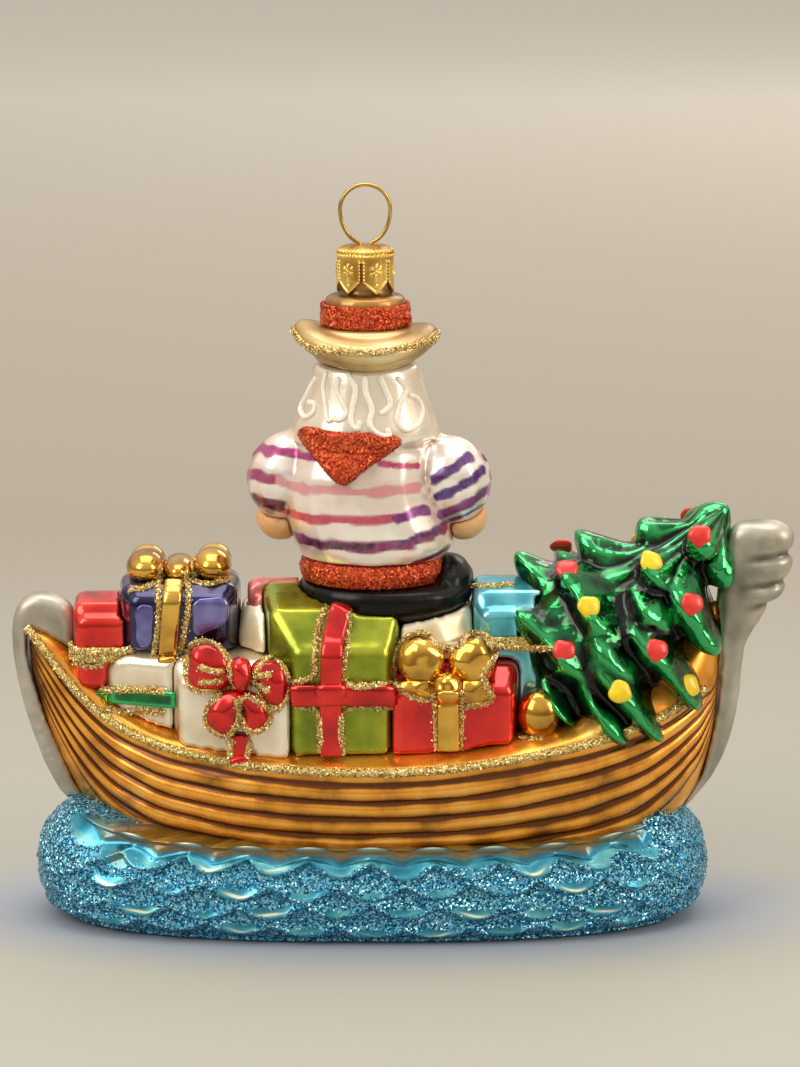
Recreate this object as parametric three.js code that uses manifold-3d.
// A mouth-blown glass tree ornament in the form of a gondola on a block of waves. It carries wrapped
// gifts, a small fir tree and a seated gondolier in a straw hat. A stamped metal cap with a spring-wire
// hanger closes the glass neck on top of the hat.
//
// Units are millimetres and +Z is up. X runs from the stern crest (-X) to the bow iron (+X). The origin
// is on the flat underside, below the middle of the whole outline. The glass was blown in a two-part
// mould whose joint is the plane Y = 0, so nearly everything swells outwards from that plane.
import * as THREE from "three";
import { mergeVertices } from "three/addons/utils/BufferGeometryUtils.js";
import Module from "manifold-3d";

const wasm = await Module();
wasm.setup();

// Driving dimensions
const SEAM = 0.3; // clearance between neighbouring forms
const FIGURE_X = -7.3; // middle of the hat, neck, cap and hanger
const BASE = { middle: -6.2, halfLength: 62.9, halfWidth: 24, endTop: 20.8, sideTop: 15.2 };
const WAVES = { around: 26, rise: 0.9, swell: 0.012 };
const PLANKS = { lowest: 0.27, count: 5, bulge: 0.45, groove: 0.4 };
const GUNWALE_BEAD = 0.75;
const NECK = { radius: 4.55, bore: 3.85, floor: 117.6, top: 124.2 };
const CAP = { radius: 5.4, wall: 0.45, points: 116.95, skirt: 119.3, top: 125.6, petals: 6, slit: 0.4 };
// The hanger's loop is an egg: it reaches topRise above its widest height and footFall below it.
const HANGER = { wire: 0.36, radius: 4.55, middle: 131.9, topRise: 4.5, footFall: 6.2, foot: 119.6, legs: 2.5 };

// Lacquer, enamel and metal colours
const FINISH = {
  sea: { color: 0x2f86b4, roughness: 0.35, metalness: 0.6 },
  copperGold: { color: 0xb4701c, roughness: 0.22, metalness: 0.9 },
  frostedSilver: { color: 0xa6a59c, roughness: 0.45, metalness: 0.6 },
  goldGlitter: { color: 0xc9a03c, roughness: 0.4, metalness: 0.9 },
  redGlitter: { color: 0xb8371c, roughness: 0.5, metalness: 0.5 },
  pearl: { color: 0xe4ddd0, roughness: 0.35, metalness: 0.4 },
  silverBeige: { color: 0xb9a88c, roughness: 0.3, metalness: 0.7 },
  red: { color: 0xc4201c, roughness: 0.15, metalness: 0.8 },
  limeGreen: { color: 0x86a31c, roughness: 0.18, metalness: 0.8 },
  emerald: { color: 0x0d6b35, roughness: 0.1, metalness: 0.9 },
  violet: { color: 0x35305f, roughness: 0.15, metalness: 0.8 },
  rose: { color: 0xb55450, roughness: 0.35, metalness: 0.5 },
  skyBlue: { color: 0x3c93ad, roughness: 0.15, metalness: 0.8 },
  gold: { color: 0xc08a22, roughness: 0.12, metalness: 1 },
  straw: { color: 0xcbb27c, roughness: 0.4, metalness: 0.5 },
  black: { color: 0x1b1c1b, roughness: 0.18, metalness: 0 },
  skin: { color: 0xd9a868, roughness: 0.5, metalness: 0 },
  brass: { color: 0xd09a2c, roughness: 0.25, metalness: 1 },
};

// Solids and meshes

// A closed geometry as a solid, with its faces turned outwards.
function solid(geometry) {
  const bare = geometry.clone();
  bare.deleteAttribute("normal");
  bare.deleteAttribute("uv");
  const merged = mergeVertices(bare, 1e-3);
  const triVerts = new Uint32Array(merged.index.array);
  const vertProperties = merged.attributes.position.array;
  const made = new wasm.Manifold(new wasm.Mesh({ numProp: 3, vertProperties, triVerts }));
  if (made.volume() > 0) return made;
  for (let i = 0; i < triVerts.length; i += 3) triVerts.subarray(i, i + 3).reverse();
  return new wasm.Manifold(new wasm.Mesh({ numProp: 3, vertProperties, triVerts }));
}

function geometryOf(made) {
  const mesh = made.getMesh();
  const geometry = new THREE.BufferGeometry();
  geometry.setAttribute("position", new THREE.BufferAttribute(mesh.vertProperties, 3));
  geometry.setIndex(new THREE.BufferAttribute(mesh.triVerts, 1));
  geometry.computeVertexNormals();
  return geometry;
}

// The same form with every wall moved out along its normal.
function grown(made, by = SEAM) {
  const geometry = geometryOf(made);
  const { position, normal } = geometry.attributes;
  for (let i = 0; i < position.count; i++) {
    const moved = new THREE.Vector3().fromBufferAttribute(position, i);
    moved.addScaledVector(new THREE.Vector3().fromBufferAttribute(normal, i), by);
    position.setXYZ(i, moved.x, moved.y, moved.z);
  }
  return solid(geometry);
}

const joined = (forms) => forms.reduce((whole, form) => whole.add(form));
const cutBy = (form, neighbours) =>
  neighbours.reduce((left, other) => {
    const spaced = left.subtract(grown(other));
    return spaced.intersect(other).volume() > 0 ? spaced.subtract(other) : spaced;
  }, form);
// What is left of a form beside its neighbours, without the crumbs that a cut leaves loose.
const fitted = (form, neighbours) =>
  cutBy(form, neighbours)
    .decompose()
    .reduce((largest, body) => (body.volume() > largest.volume() ? body : largest));

// A closed surface through rings of equal point counts. Each end closes on its middle point, or with the
// given faces if the outline is hollow.
function loft(rings, faces = null) {
  const around = rings[0].length;
  const points = rings.flat();
  const index = [];
  rings.slice(1).forEach((_, r) => {
    for (let i = 0; i < around; i++) {
      const [a, b] = [r * around + i, r * around + ((i + 1) % around)];
      index.push(a, b, a + around, b, b + around, a + around);
    }
  });
  const last = (rings.length - 1) * around;
  if (faces) {
    for (const [a, b, c] of faces) index.push(a, c, b, last + a, last + b, last + c);
  } else {
    const middles = [rings[0], rings.at(-1)].map((ring) =>
      ring.reduce((sum, p) => sum.add(p), new THREE.Vector3()).divideScalar(around),
    );
    for (let i = 0; i < around; i++) {
      const next = (i + 1) % around;
      index.push(points.length, next, i, points.length + 1, last + i, last + next);
    }
    points.push(...middles);
  }
  const geometry = new THREE.BufferGeometry();
  geometry.setAttribute("position", new THREE.Float32BufferAttribute(points.flatMap((p) => p.toArray()), 3));
  geometry.setIndex(index);
  return geometry;
}

// An upright form through level ellipses. Columns: z, x, halfWidth (X), halfDepth (Y), and y if not 0.
function stacked(rows, around = 20) {
  return loft(
    rows.map(([z, x, halfWidth, halfDepth, y = 0]) =>
      turns(around).map((a) => new THREE.Vector3(x + halfWidth * Math.cos(a), y + halfDepth * Math.sin(a), z)),
    ),
  );
}

const turns = (count) => Array.from({ length: count }, (_, i) => (i / count) * 2 * Math.PI);

// An egg-shaped lobe, turned in the XZ plane.
function lobe({ x, y, z, rx, ry, rz, turn = 0, across = 8, high = 5 }) {
  const geometry = new THREE.SphereGeometry(1, across, high);
  geometry.rotateX(Math.PI / 2);
  geometry.scale(rx, ry, rz);
  geometry.rotateY(THREE.MathUtils.degToRad(-turn));
  geometry.translate(x, y, z);
  return solid(geometry);
}

// A round bar along a smooth route that narrows from one end to the other.
function limb(points, startRadius, endRadius, around = 8) {
  const curve = new THREE.CatmullRomCurve3(points.map((p) => new THREE.Vector3(...p)));
  const steps = points.length > 2 ? 5 : 4;
  const frames = curve.computeFrenetFrames(steps);
  const rings = Array.from({ length: steps + 1 }, (_, i) => {
    const middle = curve.getPointAt(i / steps);
    const radius = THREE.MathUtils.lerp(startRadius, endRadius, i / steps) * (i % steps ? 1 : 0.75);
    return turns(around).map((a) =>
      middle
        .clone()
        .addScaledVector(frames.normals[i], radius * Math.cos(a))
        .addScaledVector(frames.binormals[i], radius * Math.sin(a)),
    );
  });
  return solid(loft(rings));
}

// A round rod of one thickness along a smooth route.
function rod(points, radius, steps) {
  const shape = new THREE.Shape().absarc(0, 0, radius, 0, 2 * Math.PI);
  const extrudePath = new THREE.CatmullRomCurve3(points.map((p) => new THREE.Vector3(...p)));
  return solid(new THREE.ExtrudeGeometry(shape, { steps, curveSegments: 3, bevelEnabled: false, extrudePath }));
}

// A plate in the XZ plane with rounded edges, centred on Y = 0, with a smooth closed outline.
function plate(points, depth, edge) {
  const curve = new THREE.CatmullRomCurve3(points.map(([x, z]) => new THREE.Vector3(x, 0, z)), true);
  const outline = Array.from({ length: 2 * points.length }, (_, i) => curve.getPoint(i / (2 * points.length)));
  if (THREE.ShapeUtils.isClockWise(outline.map((p) => new THREE.Vector2(p.x, p.z)))) outline.reverse();
  const outward = outline.map((p, i) => {
    const along = outline[(i + 1) % outline.length].clone().sub(outline.at(i - 1)).normalize();
    return new THREE.Vector3(along.z, 0, -along.x);
  });
  const flat = outline.map((p) => new THREE.Vector2(p.x, p.z));
  const faces = THREE.ShapeUtils.triangulateShape(flat, []);
  const half = depth / 2;
  const steps = [[edge, -half], [0.3 * edge, 0.3 * edge - half], [0, edge - half]];
  const levels = [...steps, ...steps.map(([inset, y]) => [inset, -y]).reverse()];
  const rings = levels.map(([inset, y]) =>
    outline.map((p, i) => p.clone().addScaledVector(outward[i], -inset).setY(y)),
  );
  return solid(loft(rings, faces));
}

function prism(points, from, to) {
  const shape = new THREE.Shape(points.map((p) => new THREE.Vector2(...p)));
  const geometry = new THREE.ExtrudeGeometry(shape, { depth: to - from, bevelEnabled: false });
  geometry.rotateX(Math.PI / 2);
  geometry.translate(0, to, 0);
  return solid(geometry);
}

function slab([x0, x1], [y0, y1], [z0, z1]) {
  const geometry = new THREE.BoxGeometry(x1 - x0, y1 - y0, z1 - z0);
  geometry.translate((x0 + x1) / 2, (y0 + y1) / 2, (z0 + z1) / 2);
  return solid(geometry);
}

// The boat

// Columns: x, keel (z), halfBeam, gunwale (z), deck (z at the middle)
const STATIONS = [
  [-70, 46.5, 3.3, 54.8, 55.2],
  [-66.8, 36, 4.6, 51, 54.4],
  [-62, 25, 6.8, 45.2, 51],
  [-56, 16, 9.6, 39.9, 45.4],
  [-47, 10, 14.2, 36, 40.5],
  [-37, 8, 17.7, 34, 38.6],
  [-24.5, 7, 21, 32.8, 37.4],
  [2.6, 6.5, 22.6, 32.6, 37.2],
  [25, 8, 20.5, 35.3, 40],
  [36, 10, 18, 37.3, 44],
  [46.5, 14.5, 13.4, 40.2, 50],
  [52, 20.5, 9.6, 42.4, 55],
  [55.5, 27, 6.4, 44, 58],
  [57.6, 36, 3.8, 45.6, 59.6],
  [58.7, 44, 1.8, 50, 60.2],
];

// One side of a section, from the keel over the planks to the gunwale and inwards up the deck.
function hullSide(keel, halfBeam, gunwale, deck) {
  const at = (share, out) => {
    const angle = Math.acos(1 - share);
    const y = halfBeam * Math.sin(angle) ** 0.7;
    const fade = Math.min(1, halfBeam / 6);
    return [Math.max(y + out * fade, 0.1), keel + share * (gunwale - keel)];
  };
  const pitch = (1 - PLANKS.lowest) / PLANKS.count;
  const side = [at(0.03, 0), at(0.13, 0)];
  for (let i = 0; i < PLANKS.count; i++) {
    const low = PLANKS.lowest + i * pitch;
    side.push(at(low, -PLANKS.groove), at(low + 0.5 * pitch, PLANKS.bulge));
  }
  const rise = deck - gunwale;
  const deckSide = [[1, 0], [0.82, 0.5], [0.45, 0.85]];
  return [...side, ...deckSide.map(([across, up]) => [across * halfBeam, gunwale + up * rise])];
}

function makeHull() {
  const rings = STATIONS.map(([x, keel, halfBeam, gunwale, deck]) => {
    const side = hullSide(keel, halfBeam, gunwale, deck);
    const port = side.map(([y, z]) => new THREE.Vector3(x, -y, z));
    const starboard = side.map(([y, z]) => new THREE.Vector3(x, y, z)).reverse();
    return [new THREE.Vector3(x, 0, keel), ...port, new THREE.Vector3(x, 0, deck), ...starboard];
  });
  return solid(loft(rings));
}

// The glitter bead that follows one gunwale. side is -1 or 1.
const makeGunwaleBead = (side) =>
  rod(
    STATIONS.slice(0, -2).map(([x, , halfBeam, gunwale]) => [x, side * (halfBeam + 0.45), gunwale + 0.35]),
    GUNWALE_BEAD,
    28,
  );

// Columns: share of the plan outline, share of the height
const BASE_PROFILE = [
  [0.82, 0],
  [0.93, 0.08],
  [0.985, 0.26],
  [1, 0.5],
  [0.985, 0.74],
  [0.93, 0.92],
  [0.84, 1],
];

// The block of waves: an oval with a flat underside, higher at its ends, with scalloped swells.
function makeWaves() {
  const around = WAVES.around * 2;
  const squared = 2 / 2.5;
  const rings = BASE_PROFILE.map(([reach, height]) =>
    turns(around).map((a) => {
      const [c, s] = [Math.cos(a), Math.sin(a)];
      const swell = height * Math.cos(WAVES.around * a + Math.round(height * 3) * Math.PI);
      const out = reach + (height > 0 ? WAVES.swell * swell : 0);
      const top = THREE.MathUtils.lerp(BASE.sideTop, BASE.endTop, c ** 6) + WAVES.rise * swell;
      const x = BASE.middle + out * BASE.halfLength * Math.sign(c) * Math.abs(c) ** squared;
      const y = out * BASE.halfWidth * Math.sign(s) * Math.abs(s) ** squared;
      return new THREE.Vector3(x, y, height * top);
    }),
  );
  return solid(loft(rings));
}

// Outlines in the XZ plane, from the foot up the outer edge and back down inside the hull.
const CREST_OUTLINE = [
  [-58.5, 17.6], [-64.9, 23.7], [-69.4, 34.4], [-72, 44.5], [-72.9, 54], [-71.4, 59.2],
  [-67.6, 60.9], [-63.4, 59.6], [-61.2, 56.4], [-61.6, 50], [-65.5, 44], [-64, 32],
];
const IRON_OUTLINE = [
  [50.5, 18.6], [57.2, 25.7], [60.6, 33.6], [62.2, 42.5], [63, 51.5], [66.4, 57],
  [69.4, 62], [69.2, 71], [65.4, 74.4], [60.4, 73.8], [58.4, 66], [57, 50], [53, 30],
];
// Columns: x, z, reach (X), halfHeight, turn
const IRON_FINGERS = [
  [66.9, 71.2, 5.6, 3.7, 4],
  [66.6, 66.3, 5.7, 3.6, 8],
  [66.2, 61.8, 4.9, 3.2, 16],
];

const IRON_HALF_HEAD = 4.6;

const makeIron = () =>
  joined([
    plate(IRON_OUTLINE, 6.4, 1.6),
    ...IRON_FINGERS.map(([x, z, rx, rz, turn]) =>
      lobe({ x, y: 0, z, rx, ry: IRON_HALF_HEAD, rz, turn, across: 12, high: 7 }),
    ),
  ]);

// The cargo

// A wrapped box that narrows towards its outer face, as a mould needs. front and back give x0, x1, z0, z1
// of the two faces, between which the walls bulge, and skew turns the front to follow the gunwale. A box
// that shows on both sides of the boat has the same front on its far side.
const WALL_BULGE = { depth: 0.35, share: 0.68 };

function wrappedBox({ front, back, y, round = 1.6, skew = 0, bothSides = false }) {
  const ring = ([x0, x1, z0, z1], depth, inset) => {
    const corners = [[x1, z1, 0], [x0, z1, 1], [x0, z0, 2], [x1, z0, 3]];
    return corners.flatMap(([x, z, quarter]) => {
      const [inX, inZ] = [x === x1 ? -1 : 1, z === z1 ? -1 : 1];
      return [0, 0.5, 1].map((share) => {
        const angle = ((quarter + share) * Math.PI) / 2;
        return new THREE.Vector3(
          x + inX * (round + inset) + round * Math.cos(angle),
          depth,
          z + inZ * (round + inset) + round * Math.sin(angle),
        );
      });
    });
  };
  const [outer, inner] = y;
  const step = Math.sign(inner - outer);
  const between = (share) => front.map((value, i) => THREE.MathUtils.lerp(value, back[i], share));
  const bulgeDepth = THREE.MathUtils.lerp(outer, inner, WALL_BULGE.depth);
  const follow = (points, share) => {
    for (const p of points) p.y += share * skew * (p.x - (front[0] + front[1]) / 2);
    return points;
  };
  const near = [
    ring(front, outer, 1.3),
    ring(front, outer + 0.5 * step, 0.35),
    ring(between(0.08), outer + 1.7 * step, 0),
    ring(between(WALL_BULGE.share), bulgeDepth, 0),
    ring(back, inner, 0),
  ].map((points, i) => follow(points, i < 3 ? 1 : 0));
  const far = near.slice(0, -1).map((points) => points.map((p) => p.clone().setY(-p.y)));
  return solid(loft(bothSides ? [...near, ...far.reverse()] : near));
}

// The gifts that show on the near side, on both sides, and on the far side.
const BOXES = {
  box_white_bow: { front: [-41.4, -20.9, 30, 48.6], back: [-42.6, -22, 30, 52], y: [-17.8, -3], skew: -0.2 },
  box_lime: { front: [-20.6, -2.9, 30, 54.8], back: [-26.5, -0.5, 30, 63.4], y: [-18.9, -2] },
  box_red_bow: { front: [-2.5, 19.6, 30, 47.8], back: [-1.2, 20.9, 30, 51.4], y: [-18.8, -3], skew: 0.04 },
  box_white_band: {
    front: [-54.6, -38, 36, 51],
    back: [-57, -37, 36, 53],
    y: [-11.4, 0],
    skew: -0.32,
    bothSides: true,
    round: 3,
  },
  box_violet: { front: [-50.6, -32, 52, 62.6], back: [-52.8, -30.6, 50, 64.4], y: [-10, 0], bothSides: true },
  box_red_stern: { front: [-60.6, -49, 44, 58], back: [-61.3, -49, 42, 61], y: [-8, 0], bothSides: true },
  box_rose: { front: [-27.8, -17, 56, 61.6], back: [-29.3, -17, 55, 63.9], y: [-5, 0] },
  box_blue: { front: [13.6, 26, 40, 59.8], back: [12.2, 28, 38, 64], y: [-10.4, 0], bothSides: true },
  box_gold_far: { front: [-36.6, -20, 30, 48], back: [-38.5, -19.5, 30, 55], y: [18, 3], skew: 0.16 },
  box_red_far: { front: [3.4, 20, 30, 48], back: [2.6, 22, 30, 54], y: [18.6, 3] },
};

// Part of the skin that a form would have if it were thicker: what lies in the region, outside the form.
const skin = (forms, region, thickness) =>
  joined(forms.map((form) => grown(form, thickness)))
    .intersect(region)
    .subtract(joined(forms.map((form) => grown(form, 0.12))));

// A tied bow seen from the front. Columns: across, up, halfWidth, halfHeight, turn
const BOW_LOBES = [
  [-5.4, 4.2, 4.6, 4.2, -18],
  [5.2, 2.6, 3.8, 4.6, 28],
  [0, 3.2, 2.4, 3.1, 0],
  [-3.1, -3.2, 2.9, 4.1, 22],
  [3, -3.2, 2.7, 4.1, -24],
  [0, 0.8, 3.4, 2.6, 0],
];
const ROUND_LOOPS = [
  [-5, 2.6, 4.4, 4.4, 0],
  [4.6, 2.6, 4.2, 4.4, 0],
  [-4.6, -3, 4, 2.2, 6],
  [4.8, -3.4, 4, 2.8, -10],
  [0, -2.2, 2.6, 2.6, 0],
];

const makeBow = (lobes, { x, y, z, ry }) =>
  joined(lobes.map(([across, up, rx, rz, turn]) => lobe({ x: x + across, y, z: z + up, rx, ry, rz, turn })));

// The two round loops and the knot of the bow on the violet gift.
const makeVioletBow = () =>
  joined([
    lobe({ x: -47.9, y: 0, z: 65.8, rx: 4.2, ry: 9, rz: 3.5, turn: 6, across: 10, high: 7 }),
    lobe({ x: -35.6, y: 0, z: 66, rx: 4.1, ry: 9, rz: 3.5, turn: -8, across: 10, high: 7 }),
    lobe({ x: -41.8, y: 0, z: 66, rx: 4.4, ry: 9.4, rz: 2.7 }),
  ]);

// The plain sack that fills the boat behind the gifts. Columns: z, x, halfWidth, halfDepth
const SACK = [
  [43, -8, 24, 14],
  [48, -8, 25.4, 15.6],
  [54, -8.2, 25, 15],
  [59, -8.6, 22.4, 13],
  [62, -9, 17, 9],
];

// The tree

// It leans towards the stern. Reaches are measured out from the trunk and falls down it from the tip.
const TREE = { tip: [60, 0, 77.6], tilt: 47, depth: 0.9, sway: 2.4, swayFall: 20, around: 18 };
// Columns: fall, radius
const TRUNK = [
  [0, 1.2], [3, 2.6], [8, 5.2], [13, 8.4], [20, 10.4], [25, 14], [31, 16.4], [38, 17.2], [44, 14.6], [50, 6],
];
// The boughs of each tier on one side. Columns: turn from the bow's side, reach, fall of the end
const TIERS = [
  { start: 1, thick: 3, boughs: [[0, 14, 17.6], [64, 12, 15.6], [122, 11, 14.4], [180, 11.4, 14]] },
  { start: 10, thick: 4.2, boughs: [[0, 19.4, 26.4], [50, 18.6, 26], [100, 17.4, 25.5], [180, 17.6, 26]] },
  {
    start: 20,
    thick: 4.8,
    boughs: [[0, 19, 36], [34, 23, 38], [84, 19.5, 37], [130, 20, 36], [180, 21.6, 35.4]],
  },
  { start: 30, thick: 5, boughs: [[20, 18, 45], [62, 20, 46], [108, 20, 46], [150, 20, 44]] },
];
// How far out and down a bough has come at each point of its route, as shares of its reach and fall
const BOUGH_ROUTE = [[0.1, 0.1], [0.46, 0.5], [0.82, 0.82], [1, 0.97]];

// The bough that hangs over the near gunwale
const OVERHANG = [[44.5, -8, 51], [44.5, -13.4, 46], [45.6, -16.4, 40], [47.4, -16.4, 34.4]];

function treePoint(reach, turn, down) {
  const a = THREE.MathUtils.degToRad(turn);
  const sway = TREE.sway * Math.min(1, down / TREE.swayFall);
  return new THREE.Vector3(sway + reach * Math.cos(a), TREE.depth * reach * Math.sin(a), -down)
    .applyAxisAngle(new THREE.Vector3(0, 1, 0), THREE.MathUtils.degToRad(TREE.tilt))
    .add(new THREE.Vector3(...TREE.tip));
}

function makeTree() {
  const degrees = turns(TREE.around).map(THREE.MathUtils.radToDeg);
  const rings = TRUNK.map(([down, radius]) => degrees.map((turn) => treePoint(radius, turn, down)));
  const boughs = TIERS.flatMap(({ start, thick, boughs: oneSide }) => {
    const otherSide = oneSide.filter(([turn]) => turn % 180).map(([turn, ...rest]) => [-turn, ...rest]);
    return [...oneSide, ...otherSide].map(([turn, reach, end]) => {
      const route = BOUGH_ROUTE.map(([out, fall]) =>
        treePoint(out * (reach - 0.6 * thick), turn, start + fall * (end - start)).toArray(),
      );
      return limb(route, 0.7 * thick, 0.9 * thick);
    });
  });
  return joined([solid(loft(rings)), ...boughs, limb(OVERHANG, 4.4, 3.4)]);
}

// The gondolier, seated and facing +Y

// Columns: z, x, halfWidth, halfDepth, y
const SEAT = [
  [55.5, -4.5, 9, 8, 0],
  [58, -4.2, 14, 12.2, 0],
  [60, -3.8, 16, 13.8, 0],
  [62.4, -3.6, 16.4, 13.8, 0],
  [63.7, -4.4, 15, 12.8, 0],
];
const SASH = [
  [64, -6, 13, 11.9],
  [66, -5.9, 13.7, 12.5],
  [68.2, -5.9, 13, 12],
];
const TORSO = [
  [68.3, -5.9, 13.2, 12],
  [70.5, -5.7, 14.6, 12.8],
  [74, -6.6, 14.9, 13.2],
  [79, -8.4, 14.3, 13.2],
  [84, -8.8, 14, 12.8],
  [88, -8.2, 13.2, 11.6],
  [90.2, -7.8, 12.2, 10.6],
];
const HAIR = [
  [90.4, -7.5, 13.9, 12],
  [93, -7.4, 13, 11.6],
  [97, -7.3, 11.4, 10.4],
  [101, -7.2, 10.3, 9.6],
  [104, -7.2, 9.7, 9.2],
];
// Columns: z at the middle of the side curl, halfWidth, halfDepth, share of the curl
const BRIM = [
  [104.1, 9, 8.6, 0],
  [105.4, 10.8, 10.3, 0.9],
  [106.1, 12.2, 11.7, 1],
  [108.2, 13.1, 12.6, 1],
  [109.9, 12.2, 11.7, 1],
  [110.5, 10, 9.6, 0.7],
  [110.9, 7.8, 7.5, 0],
];
// The sides of the brim curl up by rise, its front and back hang down by fall, and lean lowers the bow side.
const BRIM_CURL = { rise: 1.4, fall: 1.4, lean: 0.35 };

// Columns: radius, z. The crown and the open glass neck on it are one piece of glass.
const CROWN = [
  [0, 110.9], [7.3, 110.9], [7.3, 115.3], [7, 116.1], [6, 116.5], [NECK.radius, 116.6],
  [NECK.radius, NECK.top], [NECK.bore, NECK.top], [NECK.bore, NECK.floor], [0, NECK.floor],
];
const BAND = [[7.6, 110.9], [8.2, 111.1], [8.1, 115], [7.6, 115.1], [7.6, 110.9]];

const turned = (profile, around = 20) => {
  const geometry = new THREE.LatheGeometry(profile.map((p) => new THREE.Vector2(...p)), around);
  geometry.rotateX(Math.PI / 2);
  return geometry;
};
const onFigure = (geometry) => solid(geometry.translate(FIGURE_X, 0, 0));

function makeBrim() {
  const { rise, fall, lean } = BRIM_CURL;
  const rings = BRIM.map(([z, halfWidth, halfDepth, share]) =>
    turns(24).map((a) => {
      const curl = rise - (rise + fall) * Math.abs(Math.sin(a)) ** 1.6 - lean * Math.cos(a);
      return new THREE.Vector3(halfWidth * Math.cos(a), halfDepth * Math.sin(a), z + share * curl);
    }),
  );
  return onFigure(loft(rings));
}

const makeTrousers = () =>
  joined([
    solid(stacked(SEAT)),
    lobe({ x: 8, y: 1, z: 63.2, rx: 4.9, ry: 8, rz: 5, across: 10 }),
    ...[-12.6, -0.4].map((x) =>
      limb([[x, 8, 59], [x, 14.6, 58.6], [x, 17, 52], [x, 16.8, 42]], 5, 3.2),
    ),
  ]);

const makeShoe = (x) => lobe({ x, y: 17.4, z: 38.4, rx: 3, ry: 4.6, rz: 3.6 });

const makeSleeve = (shoulder, elbow, rx, turn) =>
  limb([shoulder, elbow], 5.6, 6, 10).add(
    lobe({ x: elbow[0], y: 0, z: elbow[2], rx, ry: 7.6, rz: 8.3, turn, across: 12, high: 7 }),
  );

const makeForearm = (elbow, hand) =>
  joined([
    lobe({ x: elbow[0], y: elbow[1], z: elbow[2], rx: 4.7, ry: 5, rz: 4.4, across: 10, high: 7 }),
    limb([elbow, [0.6 * elbow[0] + 0.4 * hand[0], 10.5, elbow[2] - 0.6], hand], 4.2, 2.9),
    lobe({ x: hand[0], y: hand[1] + 0.4, z: hand[2], rx: 3.4, ry: 2.4, rz: 3 }),
  ]);

const makeFace = () =>
  joined([
    lobe({ x: FIGURE_X, y: 7, z: 98.6, rx: 6.6, ry: 5.4, rz: 6.6, across: 10, high: 7 }),
    lobe({ x: FIGURE_X, y: 12.2, z: 98, rx: 1.3, ry: 1.5, rz: 1.5 }),
  ]);

const makeBeard = () => lobe({ x: FIGURE_X, y: 8.6, z: 90.6, rx: 7.6, ry: 6.2, rz: 7.4, across: 10, high: 7 });

// The triangular kerchief that lies over the hair and the shoulders. Columns: x, z
const KERCHIEF = [
  [-20.1, 93.4], [-17.2, 94.2], [-10, 93.3], [-7.3, 93.5], [-3.7, 92.5], [-0.1, 91.8],
  [-1.4, 89.5], [-7.8, 85.6], [-11.4, 83.4], [-15.7, 87.2], [-19.6, 91],
];
const makeKerchief = () => {
  const under = [stacked(TORSO), stacked(HAIR)].map((geometry) => solid(geometry));
  return skin(under, prism(KERCHIEF, -20, -2), 1.2);
};

// The cap and hanger, both round the neck's own axis

function makeCap() {
  const { radius, wall, points, skirt, top, petals, slit } = CAP;
  const inner = radius - wall;
  const shell = solid(
    turned([
      [inner, points], [radius, points], [radius, top - 1.3], [radius - 0.9, top - 0.25], [radius - 1.8, top],
      [0, top - 0.1], [0, top - 0.6], [inner - 1, top - 0.7], [inner, top - 1.5], [inner, points],
    ]),
  );
  const halfPetal = radius * Math.sin(Math.PI / petals);
  const notch = [
    [-0.12, points - 0.2], [-halfPetal, points - 0.2], [-halfPetal, points], [-slit / 2, skirt],
    [-slit / 2, top - 3.4], [slit / 2, top - 3.4], [slit / 2, skirt], [halfPetal, points],
    [halfPetal, points - 0.2],
  ];
  const cuts = Array.from({ length: petals }, (_, i) => {
    const cutter = prism(notch, -radius - 1, -inner + 2);
    return cutter.rotate([0, 0, (360 / petals) * (i + 0.12)]);
  });
  const slot = slab([-2.6, 2.6], [-0.65, 0.65], [top - 1, top + 1]);
  return [...cuts, slot].reduce((left, cutter) => left.subtract(cutter), shell);
}

function makeHanger() {
  const { wire, radius, middle, topRise, footFall, foot, legs } = HANGER;
  const leg = [[legs, foot], [0.6 * legs, CAP.top - 2.4]];
  const loop = [-75, -50, -25, 0, 30, 60, 90, 120, 150, 180, 205, 230, 255].map((degrees) => {
    const a = THREE.MathUtils.degToRad(degrees);
    return [radius * Math.cos(a), middle + (a > 0 && a < Math.PI ? topRise : footFall) * Math.sin(a)];
  });
  const route = [...leg, ...loop, ...leg.map(([x, z]) => [-x, z]).reverse()];
  return rod(route.map(([x, z]) => [x, 0, z]), wire, 38);
}

// Assembly: each form is fitted against the whole forms already placed beside it.

const placed = [];
const meshes = [];
const touches = (a, b) =>
  [0, 1, 2].every((k) => a.min[k] < b.max[k] + SEAM && b.min[k] < a.max[k] + SEAM);

function place(name, finish, form) {
  const box = form.boundingBox();
  const body = fitted(form, placed.filter((other) => touches(box, other.boundingBox())));
  placed.push(form);
  const mesh = new THREE.Mesh(geometryOf(body), new THREE.MeshStandardMaterial(FINISH[finish]));
  mesh.name = name;
  meshes.push(mesh);
}

const box = (name) => wrappedBox(BOXES[name]);
const ribbon = (name, region, thickness) => skin([box(name)], slab(...region), thickness + SEAM);

place("hull", "copperGold", makeHull());
place("wave_base", "sea", makeWaves());
place("stern_crest", "frostedSilver", plate(CREST_OUTLINE, 6.4, 1.6));
place("bow_iron", "frostedSilver", makeIron());
place("gunwale_bead_near", "goldGlitter", makeGunwaleBead(-1));
place("gunwale_bead_far", "goldGlitter", makeGunwaleBead(1));
place("tree", "emerald", makeTree());

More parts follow.
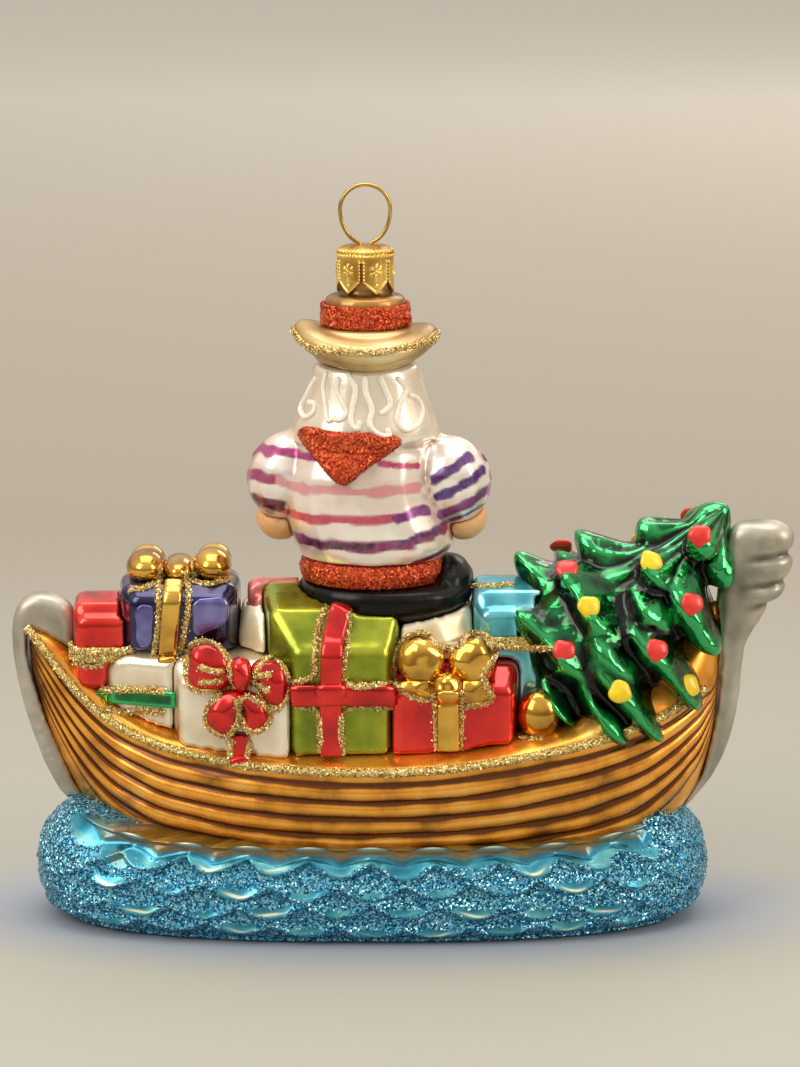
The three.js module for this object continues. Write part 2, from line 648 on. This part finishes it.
place("trousers", "black", makeTrousers());
place("shoe_left", "black", makeShoe(-12.6));
place("shoe_right", "black", makeShoe(-0.4));
place("sash", "redGlitter", solid(stacked(SASH)));
place("torso", "pearl", solid(stacked(TORSO)));
place("hair", "pearl", solid(stacked(HAIR)));
place("face", "skin", makeFace());
place("beard", "pearl", makeBeard());
place("sleeve_left", "pearl", makeSleeve([-13, 0, 86.5], [-22.2, 0, 83.2], 6.9, -14));
place("sleeve_right", "pearl", makeSleeve([-1, 0, 86.5], [8.6, 0, 82.4], 7.2, 14));
place("forearm_left", "skin", makeForearm([-23, 1.5, 75], [-11.4, 14.6, 75]));
place("forearm_right", "skin", makeForearm([10.6, 1.5, 75], [-2.6, 14.6, 76]));
place("kerchief", "redGlitter", makeKerchief());
place("hat_brim", "straw", makeBrim());
place("hat_crown", "straw", onFigure(turned(CROWN)));
place("hat_band", "redGlitter", onFigure(turned(BAND)));

place("box_white_bow", "pearl", box("box_white_bow"));
place("box_lime", "limeGreen", box("box_lime"));
place("box_red_bow", "red", box("box_red_bow"));
place("box_white_band", "pearl", box("box_white_band"));
place("box_violet", "violet", box("box_violet"));
place("box_red_stern", "red", box("box_red_stern"));
place("box_blue", "skyBlue", box("box_blue"));
place("box_gold_far", "gold", box("box_gold_far"));
place("box_red_far", "red", box("box_red_far"));
place("box_rose", "rose", box("box_rose"));
place("bauble_gold", "gold", lobe({ x: 24.3, y: -14, z: 41.2, rx: 4.2, ry: 4, rz: 5, across: 10, high: 7 }));
place("sack", "silverBeige", solid(stacked(SACK, 14)));

// Ribbons and bows lie on their gifts.
const upright = ribbon("box_lime", [[-15.8, -11.6], [-21, -6], [20, 80]], 0.9);
const level = ribbon("box_lime", [[-40, 20], [-21, -6], [44, 48.3]], 0.9);
place("ribbon_red_cross", "red", upright.add(level));
for (const [side, far] of [["near", -1], ["far", 1]]) {
  const half = [Math.min(0, 30 * far), Math.max(0, 30 * far)];
  place(`ribbon_green_${side}`, "emerald", ribbon("box_white_band", [[-70, 0], half, [42.2, 46.4]], 0.7));
  const sternBand = ribbon("box_red_stern", [[-70, 0], half, [49.6, 52.4]], 0.6);
  const blueBand = ribbon("box_blue", [[0, 40], half, [52.6, 55]], 0.6);
  place(`ribbon_gold_stern_${side}`, "goldGlitter", sternBand);
  place(`ribbon_gold_blue_${side}`, "goldGlitter", blueBand);
}
place("ribbon_gold_violet", "gold", ribbon("box_violet", [[-44, -40], [-20, 20], [40, 80]], 0.8));
place("bow_violet", "gold", makeVioletBow());
place("bow_red", "red", makeBow(BOW_LOBES, { x: -30.4, y: -18, z: 46.2, ry: 2.6 }));
place("ribbon_red", "red", ribbon("box_white_bow", [[-32.4, -28.6], [-30, -10], [20, 43]], 0.8));
place("bow_gold", "gold", makeBow(ROUND_LOOPS, { x: 7.4, y: -17.6, z: 50.2, ry: 3 }));
place("ribbon_gold", "gold", ribbon("box_red_bow", [[5.8, 9.8], [-30, -10], [20, 46]], 0.8));
place("ribbon_red_far", "red", ribbon("box_gold_far", [[-30.6, -26.6], [3.5, 30], [20, 80]], 0.8));
place("ribbon_gold_far", "gold", ribbon("box_red_far", [[9.8, 13.6], [3.5, 30], [20, 80]], 0.8));

// The cap and the hanger turn round the neck, so they stand in a group on its axis.
const fitting = new THREE.Group();
fitting.position.set(FIGURE_X, 0, 0);
for (const [name, form] of [["cap", makeCap()], ["hanger", makeHanger()]]) {
  const mesh = new THREE.Mesh(geometryOf(form), new THREE.MeshStandardMaterial(FINISH.brass));
  mesh.name = name;
  fitting.add(mesh);
}

const ornament = new THREE.Group();
ornament.add(...meshes, fitting);

export default ornament;
